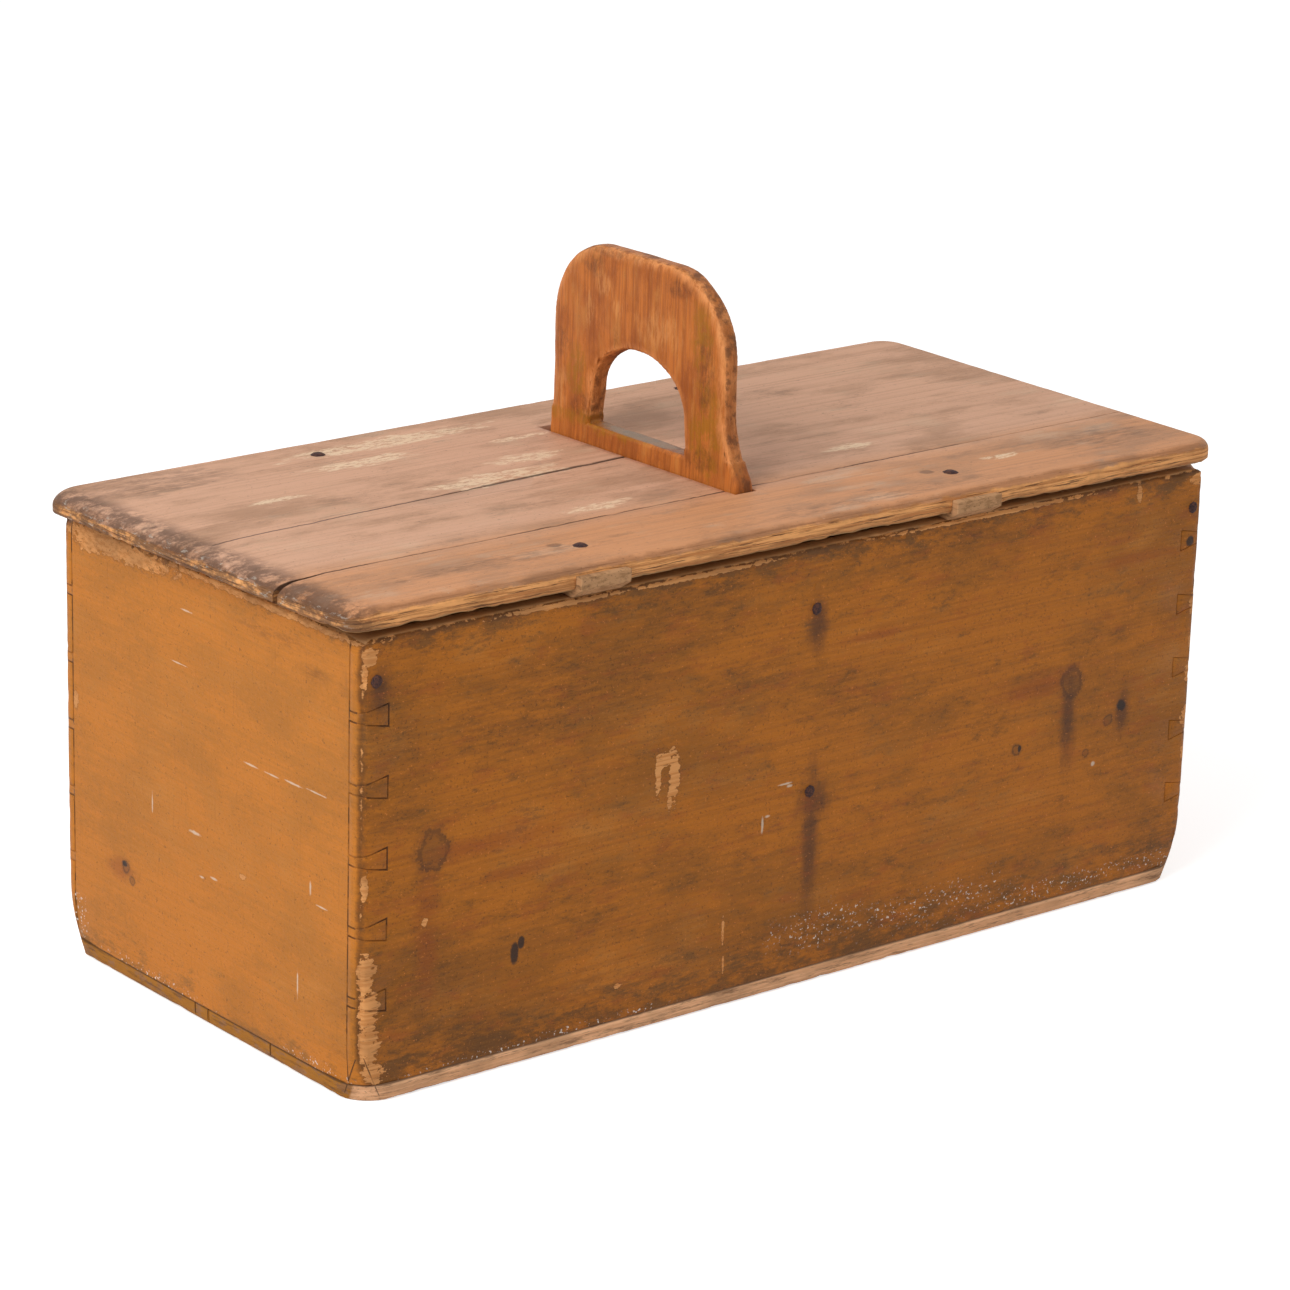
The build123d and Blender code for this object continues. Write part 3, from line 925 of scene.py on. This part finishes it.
bare_scars = [
    *marks_on(Y, front,
        (-118, 177, 6, 5), (-123, 168, 2.5, 13), (-110, 164, 4, 17), (-113, 149, 2, 8),
        (-66, 52, 1.1, 9), (-65, 30, 0.9, 6), (287, 286, 2.4, 6), (-302, 109, 2, 3),
        (-151, 34, 3.4, 1.8), (-90, 292, 60, 1.6), (150, 292.5, 90, 1.5), (-200, 292, 50, 1.6),
    ),
    *marks_on(X, left_end,
        (98, 287, 60, 7), (132, 282, 14, 5), (-60, 292, 110, 2.6), (-41, 111, 3, 2),
        (149, 174, 3, 6),
    ),
    ((-347, -165, 84), (9, 4, 13)), ((-346, -165, 62), (11, 4, 13)),
    ((-346, -165, 38), (11, 4, 15)), ((-342, -165, 19), (12, 4, 8)),
    ((-345, -165, 284), (7, 3, 6)), ((-348, -165, 272), (3, 3, 9)),
    ((-347, -165, 140), (3, 3, 10)), ((347, -165, 198), (5, 6, 8)),
    ((347, -165, 172), (4, 6, 5)), ((347, -165, 150), (5, 6, 9)), ((347, -165, 118), (6, 6, 9)),
    ((347, -165, 92), (4, 6, 6)), ((344, -165, 288), (9, 4, 4)),
]
dark_patches = [
    *marks_on(Y, front,
        (-100, 268, 62, 26), (110, 280, 90, 15), (-305, 55, 50, 42), (-150, 26, 160, 22),
        (315, 28, 45, 16), (-40, 215, 50, 20), (-326, 215, 24, 60), (40, 190, 36, 22),
        (60, 30, 200, 16), (-200, 235, 90, 36),
    ),
    *marks_on(X, left_end, (-117, 262, 15, 6), (-70, 275, 60, 4)),
]
white_scratches = [
    *marks_on(X, left_end,
        (-50, 186, 7, 0.6), (-72, 186, 6, 0.5), (-94, 187, 9, 0.6), (-118, 188, 9, 0.5),
        (12, 124, 5, 1.1), (4, 97, 2.4, 0.8), (-9, 100, 3, 0.8), (-113, 126, 0.9, 4),
        (-125, 117, 5, 0.5), (21, 266, 6, 0.5), (-100, 60, 0.7, 8), (60, 130, 0.7, 6),
        (30, 230, 8, 0.4),
    ),
    *marks_on(Y, front,
        (-36, 117, 0.9, 5), (-32, 122, 2, 1), (258, 101, 1.5, 1.5), (-18, 141, 5, 0.6),
        (-14, 139, 2, 0.8),
    ),
]
flour_specks = [
    *marks_on(Y, front,
        (15, 38, 40, 13), (100, 32, 70, 9), (230, 20, 110, 6), (322, 16, 26, 8), (-210, 13, 90, 3),
        (170, 30, 6, 14),
    ),
    *marks_on(X, left_end, (148, 24, 12, 20), (60, 12, 60, 4), (-120, 14, 30, 4)),
]
print("knots:", len(knots), "scars:", len(bare_scars), "scratches:", len(white_scratches))

# %% [markdown]
# ## The coat of paint
#
# The paint kept the grain of the boards and their saw marks. Hands and smoke have darkened it in
# patches, most of all near its foot. The front is darker than the ends, partly with dirt and partly
# as painted shade, because it faces away from the main lamp; a band under the lid is painted shade
# from the lid's overhang. Noise at several scales, each in a slightly different brown, gives the
# mottled look of brushed oil paint.

# %% The coat, its grime and its painted shade


def brushed_coat(place, fine, on_front, on_end):
    """The bare coat, darker on the front, partly as painted shade, with streaks from the brush and the
    saw.
    """
    broad = mottled(place, fine, (150, 150, 80), 11.0, 0.86, 1.2)
    streaks = patches(place, (150, 150, 2.4), 13.0, 0.44, 0.64, 4)
    return lay(
        linear("#C67824"),
        # The front's darker copies of these colours are partly painted shade, for the side away from the
        # main lamp.
        ("#B56A16", on_front, 1),
        ("#7C4C12", both_of(broad, on_front), 0.62),
        ("#9C6420", both_of(broad, on_end), 0.5),
        ("#D48838", mottled(place, fine, (110, 110, 60), 12.0, 1.02, 1.3), 0.4),
        ("#7C4812", both_of(streaks, on_front), 0.3),
        ("#A8691E", both_of(streaks, on_end), 0.3),
        ("#93571C", patches(place, (1.8, 1.8, 46), 15.0, 0.6, 0.72, 2), 0.22),
    )


def grimed_and_shaded(place, fine, on_front, on_end, paint):
    """The paint under smoke and dirt, with more of it near the foot; darker on the front, partly as
    painted shade, and in a band under the lid, which is painted shade.
    """
    height_up = part_of(place, Z)
    # Darker towards the foot, and in a band under the lid, which is painted shade from the lid's
    # overhang.
    near_lid = between(height_up, wall_top - 27, wall_top)
    dirt_and_shade = add_up((fine, 1), (either_of(between(height_up, 56, 6), near_lid), 0.16))
    dark = spots(place, dark_patches, 0.5, (40, 40, 14), 1.5, 0.3)
    return lay(
        paint,
        # Stronger on the front than on the ends, partly as painted shade.
        ("#4C3418", both_of(between(dirt_and_shade, 0.54, 0.7), on_front), 0.58),
        ("#6A4A20", both_of(between(dirt_and_shade, 0.62, 0.8), on_end), 0.5),
        ("#3A2814", both_of(dark, patches(place, (16, 16, 4), 19.0, 0.36, 0.66, 6, 0.85)), 0.42),
    )


print("the front's ochre is", [round(v, 3) for v in linear("#B56A16")[:3]], "in linear light")

# %% [markdown]
# ## Knots, rust, grit and scratches
#
# These lie over the coat and its grime. Resin and rust run down from their knots and nails,
# a knot shows as a dark ring, and grit and flecks of a few pixels break up all that is smooth.

# %% What lies on the paint


def marked(place, speckle, on_front, paint):
    """The paint with its resin, rust, knots, grit and scratches."""
    knot = far_from(place, knots, 0.3, (7, 7, 7))
    reddish = patches(place, (34, 34, 12), 86.0, 0.52, 0.68, 5, 0.75)
    grit = cloud(place, (1.9, 1.9, 1.9), 85.0, 2, 0.8)
    gritty = either_of(on_front, 0.5)
    return lay(
        paint,
        ("#8A3E14", spots(place, resin_streaks, 0.7, (24, 24, 5), 1.8, 0.2), 0.4),
        ("#3E2418", spots(place, rust_streaks, 0.4, (8, 8, 20), 1.8, 0.2), 0.72),
        ("#5A3A1C", between(knot, 1.5, 0.8), 0.45),
        ("#2E1C12", both_of(between(knot, 1.08, 0.96), between(knot, 0.6, 0.85)), 0.42),
        ("#3E260E", between(speckle, 0.62, 0.76), 0.5),
        ("#CC7430", between(speckle, 0.32, 0.2), 0.7),
        ("#964A1C", both_of(reddish, on_front), 0.4),
        ("#331F10", both_of(between(grit, 0.59, 0.7), gritty), 0.5),
        ("#D9823C", both_of(between(grit, 0.37, 0.27), gritty), 0.65),
        ("#E8DCC8", spots(place, white_scratches, 0.4, (5, 5, 5), 1.4, 0.6), 0.55),
    )


print("rust and resin run from", len(rust_streaks) + len(resin_streaks), "places")

# %% [markdown]
# ## Painted pine
#
# The paint has rubbed off all outer edges, with a dark line of dirt at the border of what is left.
# The joints are dark lines that open and close along their way, most of all on the left.
# The same boards are bare inside and on top, so their recipe ends with the unpainted faces.

# %% Ochre oil paint on pine
front_inside = abs(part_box("front_board")[1][1]) / MM
end_inside = abs(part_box("left_end_board")[1][0]) / MM


def old_paint(place, rubbed):
    """Ochre paint on the outer faces of the walls, and bare pine on all others."""
    wood, late_wood = pine(place, "#E6A262", "#BC7232")
    height_up = part_of(place, Z)
    out_along = size_of(part_of(place, X))
    out_across = size_of(part_of(place, Y))
    on_front = between(out_across, half_depth - 6, half_depth - 2)
    on_end = between(out_across, half_depth - 2, half_depth - 6)
    fine = cloud(place, (26, 26, 10), 10.0, 6, 0.82)
    speckle = cloud(place, (3.2, 3.2, 2.6), 20.0, 2, 0.8)
    paint = brushed_coat(place, fine, on_front, on_end)
    paint = grimed_and_shaded(place, fine, on_front, on_end, paint)
    paint = marked(place, speckle, on_front, paint)

    ragged_rub = add_up((rubbed, 1), (cloud(place, (16, 16, 12), 22.0, 5, 0.7), 1), start=-0.5)
    bare_edge = both_of(between(ragged_rub, 0.92, 1.0), between(height_up, -10, 34))
    scar = far_from(place, bare_scars, 0.6, (6, 6, 3.6))
    bare = either_of(bare_edge, between(scar, 1.06, 0.94))
    from_line = size_of(add_up((out_across, 1), start=-front_inside))
    line = both_of(between(from_line, 0.9, 0.3), patches(place, (60, 60, 14), 24.0, 0.36, 0.5, 2))
    leftward = between(part_of(place, X), half_length, -half_length)
    dirty = both_of(dirt_in_joints(rubbed), either_of(leftward, 0.2))
    still_open = either_of(patches(place, (22, 22, 16), 84.0, 0.4, 0.56, 3), 0.4)
    dots = patches(place, (2.4, 2.4, 2.4), 23.0, 0.62, 0.68, 1)
    dots = either_of(dots, between(speckle, 0.66, 0.74))
    floured = spots(place, flour_specks, 0.7, (20, 20, 9), 1.4, 0.4)
    inside = both_of(
        between(out_along, end_inside + 3, end_inside + 1),
        between(out_across, front_inside + 1.6, front_inside + 0.8),
    )
    unpainted = either_of(inside, between(height_up, wall_top - 1, wall_top - 0.2))
    colour = lay(
        paint,
        ("#452C16", between(ragged_rub, 0.6, 0.95), 0.6),
        ("#5A3414", between(scar, 1.35, 1.0), 0.4),
        (wood, bare, 0.9),
        ("#2E1A0E", both_of(either_of(line, dirty), still_open), 0.8),
        ("#1A1210", spots(place, dark_holes, 0.25, (5, 5, 5), 1.25, 0.75), 0.9),
        ("#EAE4DA", both_of(dots, floured), 0.8),
        (lay(wood, ("#A88A66", fine, 0.9)), unpainted, 1),
    )
    height = add_up((late_wood, 0.1), (bare_edge, -0.15), (fine, 0.5))
    return colour, add_up((bare, 0.2), start=0.55), height


painted = material_of("brushed_ochre_oil_paint_on_pine", old_paint)

# %% [markdown]
# ## The bottom boards
#
# The bottom was nailed on after painting, so its sawn front edge stayed bare, pale and orange,
# with a dark line where dust sits in the joint above it. Its ends were painted with the walls.

# %% Bottom boards
bottom_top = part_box("bottom_board_front")[1][2] / MM


def bottom_wood(place, rubbed):
    """Bare pine with painted ends and a worn pale front edge."""
    wood, late_wood = pine(place, "#F6BE90", "#D2986A")
    ends = between(size_of(part_of(place, X)), half_length - 4, half_length - 2)
    joint = between(part_of(place, Z), bottom_top - 1.4, bottom_top - 0.2)
    colour = lay(
        wood,
        ("#7E5020", ends, 0.8),
        ("#AC701E", both_of(ends, patches(place, (14, 14, 6), 31.0, 0.4, 0.5)), 0.85),
        ("#54351E", patches(place, (30, 30, 3), 32.0, 0.5, 0.66, 5, 0.75), 0.6),
        ("#3A2416", either_of(joint, dirt_in_joints(rubbed)), 0.7),
    )
    return colour, 0.75, add_up((late_wood, 0.2))


bottom_pine = material_of("sawn_bare_pine", bottom_wood)

# %% [markdown]
# ## The top of the lid
#
# The lid's paint has been scrubbed so often that little more than a pinkish tint is left, with
# pale bare patches behind the handle, and dark stains and specks. The rear plank has a crack that
# runs on from the slot, and the joint between the planks holds dirt. A mark's places are x and y.

# %% The top of the lid
lid_bare = [
    *marks_on(Z, lid_top,
        (-120, 137, 66, 9), (-160, 105, 36, 8), (-110, 22, 46, 13), (-66, 52, 26, 8),
        (-104, -67, 26, 6), (134, -47, 20, 6), (199, -119, 13, 4), (-250, 60, 20, 4),
        (-40, 96, 22, 4),
    ),
]
lid_stains = [
    *marks_on(Z, lid_top,
        (69, -136, 9, 3), (149, -89, 4, 3), (-171, 135, 7, 4), (-300, 140, 50, 24),
        (290, -120, 44, 18), (-220, -130, 80, 8), (60, -150, 120, 8),
    ),
]
lid_nail_holes = [
    *marks_on(Z, lid_top, (-176, -122, 5, 4), (131, -122, 5, 4)),
]


def scrubbed_top(place, fine, streaks):
    """The colour of the lid's top, with its marks, its crack and the joint between its planks."""
    stained = spots(place, lid_stains, 0.6, (24, 14, 20), 1.5, 0.4)
    pale = spots(place, lid_bare, 0.7, (26, 9, 20), 1.3, 0.7)
    specks = cloud(place, (3.6, 2.2, 3), 48.0, 2, 0.8)
    crack = seam(place, (-130, 11.5), (-8, 17.5), 2.8)
    crack = either_of(crack, seam(place, (-345, -0.5), (-130, 11.5), 1.3))
    joint_start = (lid_low.x - 2, joint_left_y)
    joint_end = (lid_high.x + 1, joint_left_y + joint_slant)
    dirty = patches(place, (110, 60, 60), 56.0, 0.34, 0.56)
    dirty = either_of(dirty, between(part_of(place, X), -250, -330))
    joint = both_of(seam(place, joint_start, joint_end, 1.3), dirty)
    return lay(
        linear("#D6A586"),
        ("#D18E5A", between(part_of(place, Y), -60, -110), 0.75),
        ("#A57B5C", mottled(place, fine, (150, 70, 60), 41.0, 0.9, 1.25), 0.7),
        ("#E0B898", mottled(place, fine, (90, 40, 30), 42.0, 1.05, 1.3), 0.5),
        ("#96694A", streaks, 0.28),
        ("#6E5644", between(fine, 0.56, 0.76), 0.45),
        ("#5A4230", both_of(stained, patches(place, (22, 6, 20), 46.0, 0.38, 0.62, 4, 0.75)), 0.42),
        ("#F0D2AE", both_of(pale, patches(place, (8, 2.6, 20), 47.0, 0.42, 0.54, 4, 0.75)), 0.8),
        ("#5E4230", between(specks, 0.62, 0.76), 0.45),
        ("#EFD6B8", between(specks, 0.3, 0.2), 0.4),
        ("#33211A", either_of(crack, joint), 0.75),
        ("#2E211C", spots(place, lid_nail_holes, 0.2, (6, 6, 6), 1.3, 0.7), 0.5),
    )


print("marks on the lid:", len(lid_bare) + len(lid_stains) + len(lid_nail_holes))

# %% [markdown]
# ## The edges of the lid
#
# Its front edge is bare: light orange wood with dark, dirty growth rings, like a comb seen from
# the side. The left end is dark with the dirt of hands, with pale dust in it, and the underside
# is plain pine. The sawn ends of the battens have weathered to a greyish tan, with dark open pores;
# end grain drinks dirt and hardly shines, so they are the roughest of the woods.

# %% Scrubbed and weathered pine


def scrubbed_lid(place, rubbed):
    """A nearly bare lid, pink on top and orange on its edges."""
    height_up = part_of(place, Z)
    along = part_of(place, X)
    fine = cloud(place, (60, 22, 22), 40.0, 6, 0.75)
    streaks = patches(place, (240, 2.4, 30), 43.0, 0.46, 0.66, 5, 0.7)
    edge_rings = patches(place, (70, 60, 2.0), 50.0, 0.46, 0.6, 5, 0.7)
    ragged_height = add_up((height_up, 1), (cloud(place, (18, 18, 18), 52.0, 5, 0.7), 9))
    rim = add_up((rubbed, 1), (cloud(place, (26, 26, 26), 53.0, 5), 1))
    handled = between(along, lid_low.x + 30, lid_low.x + 10)
    dusty = between(along, lid_low.x + 8, lid_low.x + 2)
    beneath = pine(place, "#B98C5C", "#94683C", grain_on_top)[0]
    colour = lay(
        linear("#F0AA68"),
        ("#A05A28", edge_rings, 0.65),
        ("#3E2416", patches(place, (34, 34, 1.5), 51.0, 0.55, 0.64, 4, 0.7), 0.8),
        (scrubbed_top(place, fine, streaks), between(ragged_height, lid_top, lid_top + 2), 1),
        ("#7C4C28", between(rim, 1.1, 1.35), 0.35),
        ("#462C1E", both_of(handled, patches(place, (16, 16, 10), 54.0, 0.34, 0.56, 5, 0.75)), 0.74),
        ("#C9C0B2", both_of(dusty, patches(place, (7, 9, 3), 55.0, 0.56, 0.66, 4, 0.75)), 0.5),
        (beneath, between(height_up, lid_low.z + 1.5, lid_low.z + 0.5), 1),
    )
    return colour, 0.62, add_up((fine, 0.5), (streaks, -0.1), (edge_rings, -0.25))


def weathered_wood(place, rubbed):
    """Sawn batten wood, weathered where it sticks out."""
    grain = patches(place, (9, 30, 2.4), 61.0, 0.44, 0.6, 4)
    pores = patches(place, (1.4, 6, 1.4), 62.0, 0.6, 0.7, 2)
    colour = lay(linear("#BC8E64"), ("#86603C", grain, 0.6), ("#4E3A2A", pores, 0.6))
    return colour, 0.8, add_up((pores, -0.2))


lid_wood = material_of("scrubbed_pine_with_paint_traces", scrubbed_lid)
batten_wood = material_of("sawn_weathered_pine", weathered_wood)

# %% [markdown]
# ## The handle
#
# Hands have polished the handle to a warm brown and rubbed its arrises lighter, to bare orange
# wood, and the pale band along them is also a painted highlight where the round arrises catch the
# light. The narrow faces are darker all round, which inside the hand hole is painted shade. Its
# grain stands upright. Ochre paint survives low down, where no hand goes, and the sill of
# the hand hole is grey with dust. A mark's two places are y and z, and it goes right through.

# %% Hand-polished pine
handle_dark = [
    *marks_on(X, 0,
        (88, 378, 8, 9), (66, 338, 12, 8), (-60, 385, 8, 24), (48, 446, 30, 3), (-58, 330, 16, 8),
        (-30, 436, 14, 5), (58, 436, 10, 8),
    ),
    ((8, -78, 400), (6, 6, 26)),
]
handle_pale = [
    *marks_on(X, 0,
        (45, 424, 9, 8), (60, 405, 4, 12), (-12, 404, 20, 12), (88, 345, 6, 14), (30, 410, 5, 6),
    ),
]
handle_ochre = [
    *marks_on(X, 0, (46, 330, 50, 6), (-62, 350, 14, 26), (72, 360, 10, 14), (-56, 410, 10, 18)),
]
sill_dust = [((0, 10, 326.5), (9, 42, 2.6))]


def handled_wood(place, rubbed):
    """A hand-polished board with upright grain."""
    fine = cloud(place, (9, 9, 24), 70.0, 6, 0.85)
    grain = patches(place, (2.2, 2.4, 80), 71.0, 0.4, 0.64, 5, 0.7)
    pale = spots(place, handle_pale, 0.5, (8, 8, 20), 1.4, 0.5)
    ochre = spots(place, handle_ochre, 0.6, (12, 12, 12), 1.5, 0.5)
    dark = spots(place, handle_dark, 0.5, (10, 8, 12), 1.5, 0.5)
    on_rim = between(size_of(part_of(place, X)), handle_high.x - 1.5, handle_high.x - 3.5)
    ragged_rub = add_up((rubbed, 1), (cloud(place, (12, 12, 22), 77.0, 5, 0.7), 1), start=-0.5)
    # The pale band along the arrises is bare rubbed wood and also a painted highlight where the round
    # arrises catch the light.
    rub_and_highlight = both_of(between(ragged_rub, 0.3, 1.05), patches(place, (5, 5, 20), 83.0, 0.3, 0.62, 5, 0.75))
    inside_box = between(part_of(place, Z), lid_low.z - 1, lid_low.z - 4)
    colour = lay(
        linear("#C87430"),
        ("#7C3E14", grain, 0.5),
        ("#8E4616", mottled(place, fine, (34, 30, 40), 72.0, 0.88, 1.2), 0.6),
        ("#D48C44", mottled(place, fine, (20, 16, 50), 78.0, 1.02, 1.25), 0.5),
        ("#E09A58", both_of(pale, patches(place, (4, 3, 16), 73.0, 0.38, 0.58, 4, 0.75)), 0.5),
        ("#A06A0E", both_of(ochre, patches(place, (9, 6, 9), 74.0, 0.36, 0.56, 4, 0.75)), 0.7),
        # The narrow faces are darker all round; inside the hand hole this is painted shade.
        ("#7A4420", on_rim, 0.45),
        ("#F0A060", rub_and_highlight, 0.8),
        ("#3E2414", both_of(dark, patches(place, (6, 5, 9), 75.0, 0.36, 0.66, 6, 0.85)), 0.55),
        # Dark patches on the narrow faces, which inside the hand hole are painted shade too.
        ("#4A2C18", both_of(on_rim, patches(place, (8, 9, 9), 79.0, 0.46, 0.6, 5, 0.75)), 0.6),
        ("#542C12", between(fine, 0.58, 0.74), 0.5),
        ("#8E8474", both_of(spots(place, sill_dust, 0.2, (9, 9, 9), 1.3, 0.7), on_rim), 0.6),
        (pine(place, "#C99A66", "#A4713F")[0], inside_box, 1),
    )
    return colour, 0.52, add_up((fine, 0.6), (grain, -0.12))


handle_wood = material_of("hand_polished_pine", handled_wood)

# %% [markdown]
# ## Rusted nails and the painted peg
#
# Forged iron that has rusted for generations is nearly black brown with redder bloom.
# Rust is not a metal to the eye, so the material has no metallic part; it is rough and pitted.
# The peg was painted over with the wall, and the paint has cracked free all round it.

# %% Rusted iron and the peg
peg_low, peg_high = [Vector(corner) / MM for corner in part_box("divider_peg")]
peg_middle = ((peg_low.x + peg_high.x) / 2, front, (peg_low.z + peg_high.z) / 2)


def rust(place, rubbed):
    """Dark rust with redder bloom and pits."""
    bloom = patches(place, (2.4, 2.4, 2.4), 81.0, 0.42, 0.6, 4)
    pits = patches(place, (1, 1, 1), 82.0, 0.5, 0.62, 2)
    colour = lay(linear("#3E2A2A"), ("#6E4636", bloom, 0.6), ("#1E1616", pits, 0.6))
    return colour, 0.75, add_up((pits, -0.15))


def painted_peg(place, rubbed):
    """The end of the peg, with a dark ring where the paint has cracked."""
    inputs = {0: place, 1: peg_middle}
    away = node(place.id_data, "ShaderNodeVectorMath", inputs, operation="DISTANCE").outputs["Value"]
    return lay(linear("#9C5E1C"), ("#3A2412", between(away, 3.2, 4.2), 0.8)), 0.55, 0.0


iron = material_of("rusted_forged_iron", rust)
peg_paint = material_of("ochre_oil_paint_on_end_grain", painted_peg)

# %% [markdown]
# ## Each piece gets its material
#
# The slot that each piece has in the frame chooses its material. Only the peg is an exception:
# its slot is bare pine, but it was painted over with the wall.

# %% Give every piece its material
material_of_slot = {
    "painted_pine_front": painted, "painted_pine_end": painted, "bare_pine": bottom_pine,
    "worn_handle_pine": handle_wood, "faded_lid_pine": lid_wood, "grey_batten_pine": batten_wood,
    "rusted_iron": iron,
}
for node_name, piece in worn.items():
    material = material_of_slot[slot_of_node[node_name]]
    piece.data.materials.append(peg_paint if node_name == "divider_peg" else material)
print("materials:", sorted({piece.data.materials[0].name for piece in worn.values()}))
